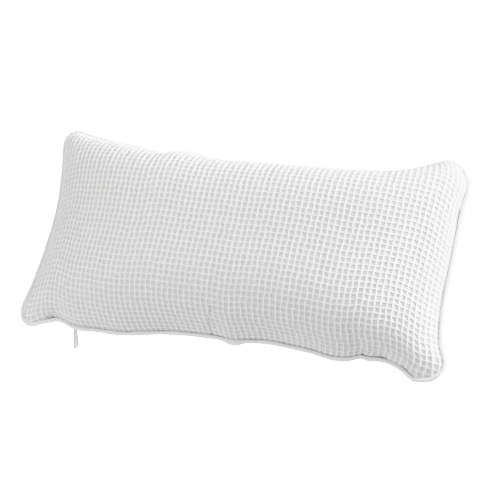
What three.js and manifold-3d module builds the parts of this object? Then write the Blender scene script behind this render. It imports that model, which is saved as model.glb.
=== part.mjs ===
// Bath pillow: a zipped waffle-weave cover with piping round its seam, a filled inner cushion,
// and suction cups on the back. Millimetres, +Z up, +Y towards the bath's sloping end.
// It is modelled upright round its seam plane (x across, y back, z up) and then leant back.
import * as THREE from 'three';
import Module from 'manifold-3d';

const wasm = await Module();
wasm.setup();

// Outline of the cover over its piping, to the sharp corners before the ears are rounded.
// Over the rounded ears the finished cover measures about 408 by 201.
const WIDTH = 419;
const HEIGHT = 213;
const FRONT_DEPTH = 55;
const BACK_DEPTH = 36;
const LEAN = THREE.MathUtils.degToRad(36.7);

// Drawn-in sides, rounded ears and crown, which is steeper at the seam the lower its edge value
const SIDE_DRAW = 15;
const TOP_DRAW = 24;
const BOTTOM_DRAW = 16;
const SIDE_DRAW_POWER = 2;
const TOP_DRAW_POWER = 3;
const BOTTOM_DRAW_POWER = 5;
const EAR_RADIUS = 26;
const CROWN_POWER_ACROSS = 3;
const CROWN_POWER_UP = 4.5;
const CROWN_EDGE_BOTTOM = 0.85;
const CROWN_EDGE_TOP = 0.55;
const FLAT_BACK_ACROSS = Math.SQRT1_2;
const FLAT_BACK_UP = 0.5;

// Cloth, piping and inner cushion
const CLOTH_THICKNESS = 1.6;
const PIPING = 4;
const PIPING_CLOTH = 0.5;
const PIPING_FLANGE = 6;
const FLANGE_SLIT = 0.4;
const LINER_THICKNESS = 0.8;
const LINER_ROOM_FRONT = 0.8;
const LINER_ROOM_BACK = 8;
const LINER_ROOM_EDGE = 9;

// Clearances: between sewn layers, between moving pieces, and between clamped ones
const GAP = 0.3;
const SNUG = 0.1;

// Zip: place of its chain behind and above the bottom piping, tapes and teeth
const CHAIN_BACK = 10.5;
const CHAIN_UP = 3.6;
const OPENING_FROM_END = 47.5;
const OPENING_RADIUS = 3;
const TAPE_WIDTH = 9;
const TAPE_THICKNESS = 0.6;
const TAPE_FROM_END = 2;
const SPINE_IN = 2;
const SPINE_WIDTH = 1;
const TOOTH_PITCH = 3.6;
const TOOTH_HEAD = 1.4;
const TOOTH_ROOT = 1.1;
const TOOTH_REACH = 1;
const TOOTH_HEIGHT = 1.8;
const STOP_LENGTH = 2.2;
const STOP_WIDTH = 2;
const STOP_HEIGHT = 2.2;

// Slider and pull
const SLIDER_FROM_END = 10.5;
const BOTTOM_STOP_FROM_END = 20;
const SLIDER_LENGTH = 11;
const SLIDER_LIP = 1;
const SLIDER_PLATE = 1;
const SLIDER_CORNER = 1.8;
const POST_WIDTH = 2.8;
const POST_LENGTH = 4.2;
const BRIDGE_LENGTH = 8;
const BRIDGE_WIDTH = 2.4;
const BRIDGE_WINDOW = 2.5;
const BRIDGE_BAR = 1;
const PULL_LENGTH = 36;
const PULL_THICKNESS = 1.6;
const PULL_BAR = 1.3;
const PULL_ARM = 1.3;
const PULL_NECK = 3.9;
const PULL_NECK_DROP = 14;
const PULL_BELLY = 9;
const PULL_BEVEL = 0.3;

// Suction cups and the eyelets that hold them in the back panel
const CUP_SPACING_ACROSS = 220;
const CUP_SPACING_UP = 46;
const CUP_RADIUS = 19;
const CUP_HEIGHT = 13.5;
const CUP_LAND_WIDTH = 2;
const CUP_DISH_DEPTH = 5.5;
const CUP_WALL_THICKNESS = 2.2;
const CUP_NECK_RADIUS = 4;
const CUP_HEAD_RADIUS = 7;
const CUP_HEAD_HEIGHT = 3.5;
const CUP_COLLAR_RADIUS = 6.5;
const CUP_COLLAR_HEIGHT = 1.6;
const EYELET_THICKNESS = 0.8;
const EYELET_FLANGE_RADIUS = 8.2;
const EYELET_ROLL_RADIUS = 6.6;
const WASHER_THICKNESS = 0.6;

// Facets
const CELLS_ACROSS = 24;
const CELLS_UP = 14;
const INNER_CELLS_ACROSS = 16;
const INNER_CELLS_UP = 8;
const ROUND_STEPS = 24;
const PIPING_STEPS = 8;

// Derived sizes
const FLANGE_HALF = PIPING_CLOTH + FLANGE_SLIT / 2;
const RIM = FLANGE_HALF + GAP;
const PANEL_INSET = PIPING + GAP;
const LINER_INSET = PIPING / 2 + PIPING_FLANGE + LINER_ROOM_EDGE;
const BACK_FACE = RIM + BACK_DEPTH;
const WALL = BACK_FACE + CUP_HEIGHT;
const SPINE_OUT = SPINE_IN + SPINE_WIDTH;
const TAPE_EDGE = SPINE_OUT + SNUG;
const SLIDER_ROOM = TOOTH_HEIGHT / 2 + GAP;
const SLIDER_FACE = SLIDER_ROOM + SLIDER_PLATE;
const SLIDER_HALF_WIDTH = SPINE_OUT + GAP + SLIDER_LIP;
const PANEL_LIP = SLIDER_HALF_WIDTH + 2 * GAP;
const OPENING = WIDTH - 2 * OPENING_FROM_END;
const TAPE_LENGTH = OPENING - 2 * TAPE_FROM_END;
const SLIDER_REST = SLIDER_FROM_END - OPENING / 2;
const BOTTOM_STOP = OPENING / 2 - BOTTOM_STOP_FROM_END;
const SLIDER_TRAVEL = BOTTOM_STOP - STOP_LENGTH - GAP - SLIDER_LENGTH / 2 - SLIDER_REST;

// A closed mesh from points and triangles, turned to face outwards
function closedSolid(points, triangles) {
  let volume = 0;
  for (const [a, b, c] of triangles) {
    volume += points[a].dot(points[b].clone().cross(points[c]));
  }
  const faces = volume < 0 ? triangles.map(([a, b, c]) => [a, c, b]) : triangles;
  const geometry = new THREE.BufferGeometry();
  const values = points.flatMap((point) => point.toArray());
  geometry.setAttribute('position', new THREE.Float32BufferAttribute(values, 3));
  geometry.setIndex(faces.flat());
  return geometry;
}

// Joins vertices that share a place, drops empty triangles and turns the solid outwards
function welded(geometry) {
  const position = geometry.getAttribute('position');
  const count = geometry.index ? geometry.index.count : position.count;
  const points = [];
  const places = new Map();
  const corners = [];
  for (let i = 0; i < count; i += 1) {
    const corner = geometry.index ? geometry.index.getX(i) : i;
    const point = new THREE.Vector3().fromBufferAttribute(position, corner);
    const key = point.toArray().map((value) => Math.round(value * 1e4)).join(' ');
    if (!places.has(key)) {
      places.set(key, points.length);
      points.push(point);
    }
    corners.push(places.get(key));
  }
  const triangles = [];
  for (let i = 0; i < corners.length; i += 3) {
    const [a, b, c] = corners.slice(i, i + 3);
    if (a !== b && b !== c && a !== c) {
      triangles.push([a, b, c]);
    }
  }
  return closedSolid(points, triangles);
}

function toManifold(geometry) {
  const clean = welded(geometry);
  return new wasm.Manifold(new wasm.Mesh({
    numProp: 3,
    vertProperties: new Float32Array(clean.getAttribute('position').array),
    triVerts: new Uint32Array(clean.index.array),
  }));
}

function fromManifold(manifold) {
  const mesh = manifold.getMesh();
  const geometry = new THREE.BufferGeometry();
  geometry.setAttribute('position', new THREE.Float32BufferAttribute(mesh.vertProperties, 3));
  geometry.setIndex([...mesh.triVerts]);
  return geometry;
}

function union(...geometries) {
  return fromManifold(geometries.map(toManifold).reduce((sum, next) => sum.add(next)));
}

function cut(geometry, ...tools) {
  const whole = toManifold(geometry);
  return fromManifold(tools.map(toManifold).reduce((rest, tool) => rest.subtract(tool), whole));
}

function common(first, second) {
  return fromManifold(toManifold(first).intersect(toManifold(second)));
}

function piece(name, geometry, color, roughness, metalness = 0) {
  const material = new THREE.MeshStandardMaterial({ color, roughness, metalness });
  const mesh = new THREE.Mesh(geometry, material);
  mesh.name = name;
  return mesh;
}

// Cover shape: u runs across and w up, both from -1 to 1. The sides are drawn in between the ears.
function blendUp(bottom, top, w) {
  return THREE.MathUtils.lerp(bottom, top, (w + 1) / 2);
}

// How far a place lies past the ear's centre, from 0 there to 1 at the very side
function pastEar(place, half, radius) {
  return Math.max(0, place - half + radius) / radius;
}

// A square's corner is drawn onto the ear's round first, then the sides are drawn in
function seamPoint(u, w, inset) {
  const halfWidth = WIDTH / 2 - inset;
  const halfHeight = HEIGHT / 2 - inset;
  const radius = EAR_RADIUS - inset;
  const a = pastEar(Math.abs(u) * halfWidth, halfWidth, radius);
  const b = pastEar(Math.abs(w) * halfHeight, halfHeight, radius);
  const earAcross = radius * a * (1 - Math.sqrt(1 - (b * b) / 2));
  const earUp = radius * b * (1 - Math.sqrt(1 - (a * a) / 2));
  const across = u - (Math.sign(u) * earAcross) / halfWidth;
  const up = w - (Math.sign(w) * earUp) / halfHeight;
  const draw = blendUp(BOTTOM_DRAW, TOP_DRAW, up);
  const drawPower = blendUp(BOTTOM_DRAW_POWER, TOP_DRAW_POWER, up);
  const x = across * (halfWidth - SIDE_DRAW * (1 - Math.abs(up) ** SIDE_DRAW_POWER));
  const z = up * (halfHeight - draw * (1 - Math.abs(across) ** drawPower));
  return new THREE.Vector3(x, 0, z);
}

// The front swells to a crown that is flat in the middle, and steeper at its top edge than at its bottom
function frontSwell(u, w) {
  const across = 1 - Math.abs(u) ** CROWN_POWER_ACROSS;
  const up = 1 - Math.abs(w) ** CROWN_POWER_UP;
  return Math.max(0, across * up) ** blendUp(CROWN_EDGE_BOTTOM, CROWN_EDGE_TOP, w);
}

// The back rises from a thin edge to the flat that lies against the bath
function backSwell(u, w) {
  const rise = (place, flat) => {
    const left = Math.max(0, (Math.abs(place) - flat) / (1 - flat));
    return 1 - left * left;
  };
  return rise(u, FLAT_BACK_ACROSS) * rise(w, FLAT_BACK_UP);
}

function frontLayer(inset, rim, depth) {
  return (u, w) => seamPoint(u, w, inset).setY(-rim - depth * frontSwell(u, w));
}

function backLayer(inset, rim, depth) {
  return (u, w) => seamPoint(u, w, inset).setY(rim + depth * backSwell(u, w));
}

// Grid lines crowd towards the seam, where the cloth turns most
function gridLines(cells) {
  return Array.from({ length: cells + 1 }, (_, i) => Math.sin((i / cells - 0.5) * Math.PI));
}

// The seam's own points, once round, as places on the grid
function rimPlaces(cellsAcross, cellsUp) {
  const places = [];
  for (let i = 0; i < cellsAcross; i += 1) places.push([i, 0]);
  for (let j = 0; j < cellsUp; j += 1) places.push([cellsAcross, j]);
  for (let i = cellsAcross; i > 0; i -= 1) places.push([i, cellsUp]);
  for (let j = cellsUp; j > 0; j -= 1) places.push([0, j]);
  return places;
}

// Two layers on one grid, closed by a band round the rim
function layered(first, second, cellsAcross, cellsUp) {
  const across = gridLines(cellsAcross);
  const up = gridLines(cellsUp);
  const size = across.length * up.length;
  const gridPoints = (layer) => up.flatMap((w) => across.map((u) => layer(u, w)));
  const points = [...gridPoints(first), ...gridPoints(second)];
  const at = (i, j) => j * across.length + i;
  const triangles = [];
  for (let j = 0; j < cellsUp; j += 1) {
    for (let i = 0; i < cellsAcross; i += 1) {
      const [a, b, c, d] = [at(i, j), at(i + 1, j), at(i + 1, j + 1), at(i, j + 1)];
      const rising = (2 * i < cellsAcross) === (2 * j < cellsUp);
      const halves = rising ? [[a, b, c], [a, c, d]] : [[a, b, d], [b, c, d]];
      for (const [p, q, r] of halves) {
        triangles.push([p, q, r], [p + size, r + size, q + size]);
      }
    }
  }
  const rim = rimPlaces(cellsAcross, cellsUp).map(([i, j]) => at(i, j));
  rim.forEach((p, k) => {
    const q = rim[(k + 1) % rim.length];
    triangles.push([q, p, p + size], [q, p + size, q + size]);
  });
  return welded(closedSolid(points, triangles));
}

// A profile of (out, front) points carried once round the seam at a given inset
function sweptRoundSeam(profile, inset) {
  const across = gridLines(CELLS_ACROSS);
  const up = gridLines(CELLS_UP);
  const places = rimPlaces(CELLS_ACROSS, CELLS_UP);
  const centres = places.map(([i, j]) => seamPoint(across[i], up[j], inset));
  const stations = centres.length;
  const points = centres.flatMap((centre, k) => {
    const along = centres[(k + 1) % stations].clone().sub(centres[(k + stations - 1) % stations]);
    const outward = new THREE.Vector3(along.z, 0, -along.x).normalize();
    return profile.map(([out, front]) => centre.clone().addScaledVector(outward, out).setY(-front));
  });
  const triangles = [];
  for (let k = 0; k < stations; k += 1) {
    profile.forEach((_, m) => {
      const next = (m + 1) % profile.length;
      const here = k * profile.length;
      const there = ((k + 1) % stations) * profile.length;
      triangles.push([here + m, there + m, there + next], [here + m, there + next, here + next]);
    });
  }
  return closedSolid(points, triangles);
}

function arcPoints(radius, from, to, steps) {
  return Array.from({ length: steps + 1 }, (_, i) => {
    const angle = from + ((to - from) * i) / steps;
    return [radius * Math.cos(angle), radius * Math.sin(angle)];
  });
}

// Piping: a strip folded round a cord, its two edges lying together as a flange in the seam
function pipingProfile() {
  const outer = PIPING / 2;
  const inner = outer - PIPING_CLOTH;
  const slit = FLANGE_SLIT / 2;
  const outerAngle = Math.PI - Math.asin(FLANGE_HALF / outer);
  const innerAngle = Math.PI - Math.asin(slit / inner);
  return [
    [-PIPING_FLANGE, -FLANGE_HALF],
    ...arcPoints(outer, -outerAngle, outerAngle, PIPING_STEPS),
    [-PIPING_FLANGE, FLANGE_HALF],
    [-PIPING_FLANGE, slit],
    ...arcPoints(inner, innerAngle, -innerAngle, PIPING_STEPS),
    [-PIPING_FLANGE, -slit],
  ];
}

function cordProfile() {
  const flatAllowance = Math.cos(Math.PI / PIPING_STEPS);
  const radius = (PIPING / 2 - PIPING_CLOTH) * flatAllowance - SNUG;
  return arcPoints(radius, 0, 2 * Math.PI, PIPING_STEPS).slice(0, -1);
}

// Flat outlines and bars used by the zip. Bars run along x, plates lie across z.
function roundedOutline(length, width, radius) {
  const [x, y] = [length / 2, width / 2];
  const shape = new THREE.Shape();
  shape.moveTo(-x + radius, -y);
  shape.lineTo(x - radius, -y);
  shape.absarc(x - radius, -y + radius, radius, -Math.PI / 2, 0);
  shape.absarc(x - radius, y - radius, radius, 0, Math.PI / 2);
  shape.absarc(-x + radius, y - radius, radius, Math.PI / 2, Math.PI);
  shape.absarc(-x + radius, -y + radius, radius, Math.PI, 1.5 * Math.PI);
  return shape;
}

function polygon(points) {
  return new THREE.Shape(points.map(([x, y]) => new THREE.Vector2(x, y)));
}

function plate(shape, low, high, curveSegments = 4) {
  const depth = high - low;
  const geometry = new THREE.ExtrudeGeometry(shape, { depth, bevelEnabled: false, curveSegments });
  return geometry.translate(0, 0, low);
}

function bar(points, from, to) {
  const geometry = new THREE.ExtrudeGeometry(polygon(points), { depth: to - from, bevelEnabled: false });
  const turn = new THREE.Matrix4().makeBasis(
    new THREE.Vector3(0, 1, 0),
    new THREE.Vector3(0, 0, 1),
    new THREE.Vector3(1, 0, 0),
  );
  return geometry.applyMatrix4(turn).translate(from, 0, 0);
}

// Zip frame: x along the chain, y towards the back, z up, with the chain's centre at its origin
const pipingBottom = -(HEIGHT / 2 - BOTTOM_DRAW - PIPING / 2);
const zip = new THREE.Group();
zip.rotation.x = LEAN;
zip.position.set(0, CHAIN_BACK, CHAIN_UP).applyEuler(zip.rotation);
zip.position.z += pipingBottom;
zip.updateMatrix();

const sliderMouth = SLIDER_REST - SLIDER_LENGTH / 2;
const topStopEnd = sliderMouth - GAP;
const bottomStopStart = SLIDER_REST + SLIDER_TRAVEL + SLIDER_LENGTH / 2 + GAP;

// One row of teeth on its spine; side is -1 at the piping and 1 at the back panel
function toothRow(side) {
  const start = topStopEnd + SNUG;
  const end = bottomStopStart - SNUG;
  const firstTooth = SLIDER_REST + TOOTH_HEAD + (side > 0 ? TOOTH_PITCH / 2 : 0);
  const count = Math.floor((end - TOOTH_HEAD - firstTooth) / TOOTH_PITCH) + 1;
  const outline = [[start, SPINE_OUT], [start, SPINE_IN]];
  for (let i = 0; i < count; i += 1) {
    const x = firstTooth + i * TOOTH_PITCH;
    outline.push([x - TOOTH_ROOT / 2, SPINE_IN], [x - TOOTH_HEAD / 2, -TOOTH_REACH]);
    outline.push([x + TOOTH_HEAD / 2, -TOOTH_REACH], [x + TOOTH_ROOT / 2, SPINE_IN]);
  }
  outline.push([end, SPINE_IN], [end, SPINE_OUT]);
  const sided = outline.map(([x, y]) => [x, side * y]);
  return welded(plate(polygon(sided), -TOOTH_HEIGHT / 2, TOOTH_HEIGHT / 2));
}

// Tapes: the front one runs up to the piping's flange, the back one under the panel's lip
function tape(from, to) {
  const [x, z] = [TAPE_LENGTH / 2, TAPE_THICKNESS / 2];
  const outline = [[-x, from], [x, from], [x, to], [-x, to]];
  return welded(plate(polygon(outline), -z, z));
}

const tapeTop = CHAIN_UP + TAPE_THICKNESS / 2;
const tapeFront = tapeTop * Math.tan(LEAN) + (FLANGE_HALF + GAP) / Math.cos(LEAN) - CHAIN_BACK;

// Stops grip the tape's beaded edge in a slot
function topStop(side) {
  const [high, slot] = [STOP_HEIGHT / 2, TAPE_THICKNESS / 2 + SNUG];
  const outer = SPINE_IN + STOP_WIDTH;
  const outline = [
    [SPINE_IN, -high], [outer, -high], [outer, -slot], [SPINE_OUT, -slot],
    [SPINE_OUT, slot], [outer, slot], [outer, high], [SPINE_IN, high],
  ];
  return welded(bar(outline.map(([y, z]) => [side * y, z]), topStopEnd - STOP_LENGTH, topStopEnd));
}

function bottomStop() {
  const [high, slot] = [STOP_HEIGHT / 2, TAPE_THICKNESS / 2 + SNUG];
  const outer = SPINE_IN + STOP_WIDTH;
  const half = [
    [outer, -high], [outer, -slot], [SPINE_OUT, -slot],
    [SPINE_OUT, slot], [outer, slot], [outer, high],
  ];
  const mirrored = half.map(([y, z]) => [-y, -z]);
  return welded(bar([...half, ...mirrored], bottomStopStart, bottomStopStart + STOP_LENGTH));
}

// Slider: two lipped plates joined by a wedge post at the mouth, with a bridge for the pull
function slider() {
  const slot = TAPE_THICKNESS / 2 + GAP;
  const inner = SLIDER_HALF_WIDTH - SLIDER_LIP;
  const channel = (way) => [
    [-SLIDER_HALF_WIDTH, way * slot], [-inner, way * slot], [-inner, way * SLIDER_ROOM],
    [inner, way * SLIDER_ROOM], [inner, way * slot], [SLIDER_HALF_WIDTH, way * slot],
    [SLIDER_HALF_WIDTH, way * SLIDER_FACE], [-SLIDER_HALF_WIDTH, way * SLIDER_FACE],
  ];
  const half = SLIDER_LENGTH / 2;
  const plan = roundedOutline(SLIDER_LENGTH, 2 * SLIDER_HALF_WIDTH, SLIDER_CORNER);
  const block = plate(plan, -SLIDER_FACE, SLIDER_FACE);
  const channels = [1, -1].map((way) => common(bar(channel(way), -half, half), block));
  const postHalf = POST_WIDTH / 2;
  const postStart = -half + GAP;
  const wedge = new THREE.Shape();
  wedge.moveTo(postStart + POST_LENGTH, 0);
  wedge.lineTo(postStart + postHalf, postHalf);
  wedge.absarc(postStart + postHalf, 0, postHalf, Math.PI / 2, 1.5 * Math.PI);
  const post = plate(wedge, -SLIDER_FACE + SLIDER_PLATE / 2, SLIDER_FACE - SLIDER_PLATE / 2);
  return union(...channels, post, bridge());
}

// The bridge is an arch along the chain, drawn as (x, height off the outer plate)
function bridge() {
  const [half, top] = [BRIDGE_LENGTH / 2, BRIDGE_WINDOW + BRIDGE_BAR];
  const root = -SLIDER_PLATE / 2;
  const arch = new THREE.Shape();
  arch.moveTo(-half, root);
  arch.lineTo(half, root);
  arch.lineTo(half, top / 2);
  arch.quadraticCurveTo(half, top, half / 2, top);
  arch.lineTo(-half / 2, top);
  arch.quadraticCurveTo(-half, top, -half, top / 2);
  const side = half - BRIDGE_BAR;
  const window = new THREE.Path();
  window.moveTo(-side, 0);
  window.lineTo(-side, BRIDGE_WINDOW / 2);
  window.quadraticCurveTo(-side, BRIDGE_WINDOW, -side / 2, BRIDGE_WINDOW);
  window.lineTo(side / 2, BRIDGE_WINDOW);
  window.quadraticCurveTo(side, BRIDGE_WINDOW, side, BRIDGE_WINDOW / 2);
  window.lineTo(side, 0);
  arch.holes.push(window);
  const geometry = plate(arch, -BRIDGE_WIDTH / 2, BRIDGE_WIDTH / 2);
  return geometry.rotateX(-Math.PI / 2).translate(0, 0, -SLIDER_FACE);
}

// Pull: a drop-shaped tab whose top bar hangs in the bridge, drawn as (across, below the bar)
const pullHinge = -SLIDER_FACE - BRIDGE_WINDOW + GAP + PULL_BAR / 2;
function pull() {
  const eyeHalf = BRIDGE_WIDTH / 2 + 2 * GAP;
  const topHalf = eyeHalf + PULL_ARM;
  const [neckHalf, bellyHalf] = [PULL_NECK / 2, PULL_BELLY / 2];
  const eyeTop = PULL_BAR / 2;
  const eyeEnd = eyeTop + BRIDGE_LENGTH / 2 + BRIDGE_BAR + GAP;
  const [neck, belly] = [PULL_NECK_DROP, PULL_LENGTH - bellyHalf];
  const tab = new THREE.Shape();
  tab.moveTo(-topHalf, eyeTop);
  tab.quadraticCurveTo(-topHalf, -eyeTop, -topHalf + PULL_BAR, -eyeTop);
  tab.lineTo(topHalf - PULL_BAR, -eyeTop);
  tab.quadraticCurveTo(topHalf, -eyeTop, topHalf, eyeTop);
  tab.lineTo(topHalf, eyeEnd - PULL_ARM);
  tab.quadraticCurveTo(topHalf, eyeEnd, neckHalf, neck);
  tab.quadraticCurveTo(bellyHalf, (neck + belly) / 2, bellyHalf, belly);
  tab.absarc(0, belly, bellyHalf, 0, Math.PI);
  tab.quadraticCurveTo(-bellyHalf, (neck + belly) / 2, -neckHalf, neck);
  tab.quadraticCurveTo(-topHalf, eyeEnd, -topHalf, eyeEnd - PULL_ARM);
  const eye = new THREE.Path();
  eye.moveTo(-eyeHalf, eyeTop);
  eye.lineTo(-eyeHalf, eyeEnd - eyeHalf);
  eye.absarc(0, eyeEnd - eyeHalf, eyeHalf, Math.PI, 0, true);
  eye.lineTo(eyeHalf, eyeTop);
  tab.holes.push(eye);
  const geometry = new THREE.ExtrudeGeometry(tab, {
    depth: PULL_THICKNESS - 2 * PULL_BEVEL,
    bevelThickness: PULL_BEVEL,
    bevelSize: PULL_BEVEL,
    bevelOffset: -PULL_BEVEL,
    bevelSegments: 1,
    curveSegments: 6,
  });
  const turn = new THREE.Matrix4().makeBasis(
    new THREE.Vector3(0, 1, 0),
    new THREE.Vector3(0, 0, -1),
    new THREE.Vector3(-1, 0, 0),
  );
  return welded(geometry.applyMatrix4(turn).translate(PULL_THICKNESS / 2 - PULL_BEVEL, 0, pullHinge));
}

// Turned pieces of the cups, as (radius, y) profiles about the cup's own axis
function turned(profile) {
  const points = profile.map(([radius, y]) => new THREE.Vector2(radius, y));
  return welded(new THREE.LatheGeometry(points, ROUND_STEPS));
}

const panelInside = BACK_FACE - CLOTH_THICKNESS;
const washerOuterFace = panelInside - SNUG;
const washerInnerFace = washerOuterFace - WASHER_THICKNESS;
const rollInnerFace = washerInnerFace - SNUG - EYELET_THICKNESS;
const flangeOuterFace = BACK_FACE + SNUG + EYELET_THICKNESS;
const barrelInside = CUP_NECK_RADIUS + SNUG;
const barrelOutside = barrelInside + EYELET_THICKNESS;
const holeRadius = barrelOutside + SNUG;

function eyelet() {
  return turned([
    [barrelInside, rollInnerFace], [barrelInside, flangeOuterFace],
    [EYELET_FLANGE_RADIUS - EYELET_THICKNESS, flangeOuterFace],
    [EYELET_FLANGE_RADIUS, BACK_FACE + SNUG], [barrelOutside, BACK_FACE + SNUG],
    [barrelOutside, washerInnerFace - SNUG], [EYELET_ROLL_RADIUS, washerInnerFace - SNUG],
    [EYELET_ROLL_RADIUS - EYELET_THICKNESS, rollInnerFace], [barrelInside, rollInnerFace],
  ]);
}

function washer() {
  return turned([
    [holeRadius, washerInnerFace], [holeRadius, washerOuterFace], [EYELET_FLANGE_RADIUS, washerOuterFace],
    [EYELET_FLANGE_RADIUS, washerInnerFace], [holeRadius, washerInnerFace],
  ]);
}

// Cup: a mushroom head inside the cover, a neck through the eyelet, and a bell with a flat rim
function cup() {
  const headFace = rollInnerFace - SNUG;
  const headTop = headFace - CUP_HEAD_HEIGHT;
  const collarStart = flangeOuterFace + SNUG;
  const collarEnd = collarStart + CUP_COLLAR_HEIGHT;
  const landStart = CUP_RADIUS - CUP_LAND_WIDTH;
  const dishTop = WALL - CUP_DISH_DEPTH;
  const steps = [0.25, 0.5, 0.75];
  const bellOutside = steps.map((t) => {
    const radius = THREE.MathUtils.lerp(CUP_COLLAR_RADIUS, CUP_RADIUS, Math.sin((t * Math.PI) / 2));
    return [radius, THREE.MathUtils.lerp(collarEnd, WALL - CUP_WALL_THICKNESS / 2, t)];
  });
  const dish = steps.map((t) => [landStart * (1 - t), WALL - CUP_DISH_DEPTH * Math.sin((t * Math.PI) / 2)]);
  return turned([
    [0, headTop], [CUP_HEAD_RADIUS / 2, headTop],
    [CUP_HEAD_RADIUS, headFace - CUP_HEAD_HEIGHT / 2], [CUP_HEAD_RADIUS, headFace],
    [CUP_NECK_RADIUS, headFace], [CUP_NECK_RADIUS, collarStart],
    [CUP_COLLAR_RADIUS, collarStart], [CUP_COLLAR_RADIUS, collarEnd],
    ...bellOutside, [CUP_RADIUS, WALL - CUP_WALL_THICKNESS / 2], [CUP_RADIUS, WALL], [landStart, WALL],
    ...dish, [0, dishTop],
  ]);
}

// Cover
const cupPlaces = [[-1, 1], [1, 1], [-1, -1], [1, -1]].map(([across, up]) => [
  (across * CUP_SPACING_ACROSS) / 2,
  (up * CUP_SPACING_UP) / 2,
]);

const frontPanel = layered(
  frontLayer(PANEL_INSET, RIM, FRONT_DEPTH - RIM),
  frontLayer(PANEL_INSET + CLOTH_THICKNESS, RIM, FRONT_DEPTH - RIM - CLOTH_THICKNESS),
  CELLS_ACROSS,
  CELLS_UP,
);
const wholeBack = layered(
  backLayer(PANEL_INSET, RIM, BACK_DEPTH),
  backLayer(PANEL_INSET + CLOTH_THICKNESS, RIM, BACK_DEPTH - CLOTH_THICKNESS),
  CELLS_ACROSS,
  CELLS_UP,
);
const openingWidth = CHAIN_BACK + BACK_DEPTH / 2 + PANEL_LIP;
const openingOutline = roundedOutline(OPENING, openingWidth, OPENING_RADIUS);
const openingTool = plate(openingOutline, -BACK_DEPTH / 2, CHAIN_UP);
openingTool.translate(0, PANEL_LIP - openingWidth / 2, 0).applyMatrix4(zip.matrix);
const eyeletTools = cupPlaces.map(([x, z]) => {
  const tool = new THREE.CylinderGeometry(holeRadius, holeRadius, 4 * CLOTH_THICKNESS, ROUND_STEPS);
  return tool.translate(x, BACK_FACE, z);
});
const backPanel = cut(wholeBack, openingTool, ...eyeletTools);

// Inner cushion: its own two panels, and the filling inside them
const linerRim = GAP / 2;
const linerFrontDepth = FRONT_DEPTH - CLOTH_THICKNESS - LINER_ROOM_FRONT - linerRim;
const linerBackDepth = BACK_FACE - CLOTH_THICKNESS - LINER_ROOM_BACK - linerRim;
const linerFront = layered(
  frontLayer(LINER_INSET, linerRim, linerFrontDepth),
  frontLayer(LINER_INSET + LINER_THICKNESS, linerRim, linerFrontDepth - LINER_THICKNESS),
  INNER_CELLS_ACROSS,
  INNER_CELLS_UP,
);
const linerBack = layered(
  backLayer(LINER_INSET, linerRim, linerBackDepth),
  backLayer(LINER_INSET + LINER_THICKNESS, linerRim, linerBackDepth - LINER_THICKNESS),
  INNER_CELLS_ACROSS,
  INNER_CELLS_UP,
);
const fillInset = LINER_INSET + LINER_THICKNESS + GAP;
const fibreFill = layered(
  frontLayer(fillInset, 0, linerFrontDepth - LINER_THICKNESS - GAP),
  backLayer(fillInset, 0, linerBackDepth - LINER_THICKNESS - GAP),
  INNER_CELLS_ACROSS,
  INNER_CELLS_UP,
);

// Assembly
const WHITE_CLOTH = 0xf0efec;
const LINER_CLOTH = 0xe6e4df;
const GREY_METAL = 0xb9babd;
const CLEAR_RUBBER = 0xdfe4e6;

const pillow = new THREE.Group();
pillow.rotation.x = -LEAN;
pillow.position.set(0, -WALL, 0).applyEuler(pillow.rotation);
pillow.add(
  piece('front_panel', frontPanel, WHITE_CLOTH, 0.95),
  piece('back_panel', backPanel, WHITE_CLOTH, 0.95),
  piece('piping_cover', sweptRoundSeam(pipingProfile(), PIPING / 2), WHITE_CLOTH, 0.9),
  piece('piping_cord', sweptRoundSeam(cordProfile(), PIPING / 2), LINER_CLOTH, 0.95),
  piece('liner_front', linerFront, LINER_CLOTH, 0.9),
  piece('liner_back', linerBack, LINER_CLOTH, 0.9),
  piece('fibre_fill', fibreFill, WHITE_CLOTH, 1),
);
cupPlaces.forEach(([x, z], i) => {
  pillow.add(
    piece(`suction_cup_${i + 1}`, cup().translate(x, 0, z), CLEAR_RUBBER, 0.25),
    piece(`eyelet_${i + 1}`, eyelet().translate(x, 0, z), GREY_METAL, 0.35, 0.9),
    piece(`eyelet_washer_${i + 1}`, washer().translate(x, 0, z), GREY_METAL, 0.35, 0.9),
  );
});

zip.add(
  piece('zip_tape_front', tape(tapeFront, -TAPE_EDGE), WHITE_CLOTH, 0.85),
  piece('zip_tape_back', tape(TAPE_EDGE, TAPE_WIDTH), WHITE_CLOTH, 0.85),
  piece('zip_teeth_front', toothRow(-1), WHITE_CLOTH, 0.5),
  piece('zip_teeth_back', toothRow(1), WHITE_CLOTH, 0.5),
  piece('zip_top_stop_front', topStop(-1), GREY_METAL, 0.4, 0.8),
  piece('zip_top_stop_back', topStop(1), GREY_METAL, 0.4, 0.8),
  piece('zip_bottom_stop', bottomStop(), GREY_METAL, 0.4, 0.8),
  piece('zip_slider', slider().translate(SLIDER_REST, 0, 0), GREY_METAL, 0.4, 0.8),
  piece('zip_pull', pull().translate(SLIDER_REST, 0, 0), GREY_METAL, 0.4, 0.8),
);
pillow.add(zip);

const group = new THREE.Group();
group.add(pillow);
export default group;
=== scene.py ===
import math

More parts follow.
